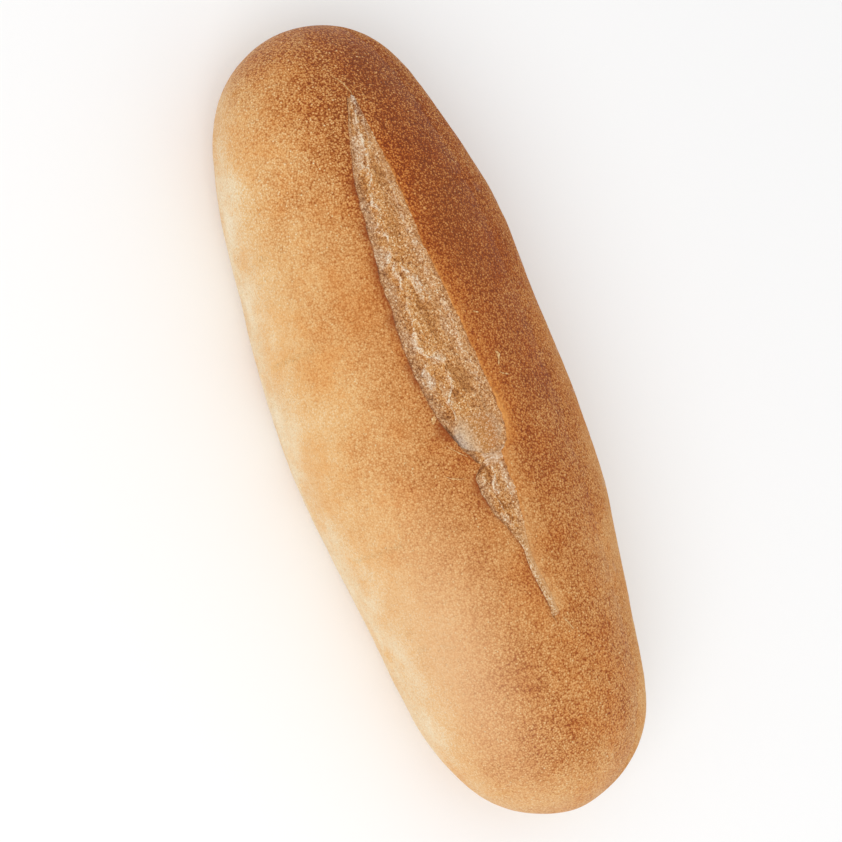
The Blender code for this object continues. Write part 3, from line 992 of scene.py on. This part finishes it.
FLAKE_RINGS = 48
FLAKE_COLUMNS = 8
FLAKE_THICK = 0.00007
flakes = [
    # (x, y) in mm along each one's middle, then its half width in mm and its raggedness
    (
        ((-75.1, -1.4), (-74.4, -1.0), (-73.5, -0.4), (-72.6, 0.1), (-71.6, 0.3), (-70.4, 0.7), (-69.4, 0.6)),
        0.13,
        0.3,
    ),
    (((-8.8, 8.4), (-8.1, 8.8), (-7.3, 8.5), (-6.7, 8.2), (-6.0, 7.9)), 0.48, 1.0),
    (((-3.2, 9.6), (-3.6, 9.0), (-3.9, 8.2), (-4.5, 7.4)), 0.16, 1.0),
    (((-17.6, 7.9), (-17.9, 7.3), (-18.3, 6.7)), 0.16, 1.0),
    (((13.7, -8.2), (13.4, -9.4), (12.8, -10.7), (12.0, -11.8)), 0.15, 0.9),
    (((5.9, -9.6), (6.9, -8.9), (8.3, -7.6), (9.8, -6.1)), 0.10, 0.6),
    (((47.6, 1.6), (48.9, 2.3), (50.0, 2.7), (51.2, 3.3)), 0.13, 1.0),
    (((-0.7, -9.7), (0.2, -10.2), (0.9, -10.6)), 0.40, 1.0),
]
bpy.ops.object.select_all(action="DESELECT")
scraps = []
for number, (line, half_wide, raggedness) in enumerate(flakes):
    scrap, ring, column = add_ball("flakes", FLAKE_RINGS, FLAKE_COLUMNS)
    scraps.append(scrap)
    way = run_length(np.array(line, float))
    share = ring / FLAKE_RINGS
    x = np.interp(share, way, [place for place, _ in line]) * MM
    y = np.interp(share, way, [place for _, place in line]) * MM
    beside = np.gradient(np.array(line, float), axis=0)
    beside = beside / np.linalg.norm(beside, axis=-1)[:, None]
    turn = TURN * column / FLAKE_COLUMNS
    narrowing = np.sin(math.pi * np.clip(share, 0.0, 1.0)) ** 0.6
    uneven = 1.0 + 0.45 * raggedness * along_noise(share + number, 0.11, 83)
    wide = half_wide * MM * narrowing * uneven * np.cos(turn)
    x += wide * -np.interp(share, way, beside[:, 1])
    y += wide * np.interp(share, way, beside[:, 0])
    curl = 0.10 * MM * raggedness * (0.5 + 0.5 * along_noise(share + number, 0.23, 84)) * narrowing
    out = FLAKE_THICK * (0.6 + np.sin(turn) * narrowing) + curl
    beside_middle = y - sway(x)
    angle = np.arctan2(beside_middle, rise(x))
    for _ in range(4):
        angle = np.arcsin(np.clip(beside_middle / section_radius(x, angle), -1.0, 1.0))
    near_angle, far_angle = lip_angles(x)
    radius = section_radius(x, angle)
    out += lip_swell((near_angle - angle) * radius, (angle - far_angle) * radius) * openness(x)
    lay_over(scrap, skin_point(x, angle, out + unevenness(x, angle)))
    around = (number + 0.05 + 0.9 * np.arange(FLAKE_COLUMNS + 1) / FLAKE_COLUMNS) / len(flakes)
    unroll(scrap, ring, column, np.arange(FLAKE_RINGS + 1) / FLAKE_RINGS, around)
for scrap in scraps:
    scrap.select_set(True)
bpy.context.view_layer.objects.active = scraps[0]
bpy.ops.object.join()
flake = scraps[0]

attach(flake, "root")

papery = Finish(flake, "papery_flake")
fine = papery.grain(0.00045, 2.0, 0.6)
colour = papery.ramp(0.5 + 0.5 * fine, (0.25, "b57d45"), (0.50, "cf9f66"), (0.80, "e9c997"))
papery.connect(papery.surface, {"Base Color": colour, "Roughness": 0.7 + 0.05 * fine})
papery.connect(papery.surface, {"Specular IOR Level": 0.3})

# ------------------------------------------------------------------------------------------------
# Floor, light and camera: a plain white floor under one large soft light from the near side, with
# even white light all round, seen from high above the near side.
# ------------------------------------------------------------------------------------------------

bpy.ops.object.select_all(action="DESELECT")
bpy.ops.mesh.primitive_plane_add(size=6.0, location=(0.0, 0.0, 0.0))
floor = bpy.context.object
floor.name = "floor"
floor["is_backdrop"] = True
white = Finish(floor, "white_floor")
white.connect(white.surface, {"Base Color": (0.94, 0.94, 0.94, 1.0), "Roughness": 0.9})

scene = bpy.context.scene
world = bpy.data.worlds.new("studio")
scene.world = world
world.use_nodes = True
world.node_tree.nodes["Background"].inputs["Color"].default_value = (1.0, 1.0, 1.0, 1.0)
world.node_tree.nodes["Background"].inputs["Strength"].default_value = 0.78
scene.view_settings.view_transform = "Standard"

KEY_PLACE = Vector((0.30, -0.55, 0.85))
KEY_AIM = Vector((0.0, 0.0, 0.02))
key_light = bpy.data.lights.new("key", "AREA")
key_light.shape = "DISK"
key_light.size = 0.9
key_light.energy = 4.6
key = bpy.data.objects.new("key", key_light)
key.location = KEY_PLACE
key.rotation_euler = (KEY_AIM - KEY_PLACE).to_track_quat("-Z", "Y").to_euler()
scene.collection.objects.link(key)

CAMERA_ELEVATION = math.radians(68.0)
CAMERA_TURN = math.radians(69.33)  # how far the roll's +X end points down to the right
CAMERA_DISTANCE = 0.506
CAMERA_LENS = 100.0
AIM = Vector((-0.00065, -0.0026, 0.019))
toward = Vector((0.0, -math.cos(CAMERA_ELEVATION), math.sin(CAMERA_ELEVATION)))
across = Vector((1.0, 0.0, 0.0))
upward = toward.cross(across)
right = across * math.cos(CAMERA_TURN) + upward * math.sin(CAMERA_TURN)
top = toward.cross(right)
camera_data = bpy.data.cameras.new("camera")
camera_data.lens = CAMERA_LENS
camera = bpy.data.objects.new("camera", camera_data)
scene.collection.objects.link(camera)
turned = Matrix((right, top, toward)).transposed().to_4x4()
turned.translation = AIM + toward * CAMERA_DISTANCE
camera.matrix_world = turned
scene.camera = camera
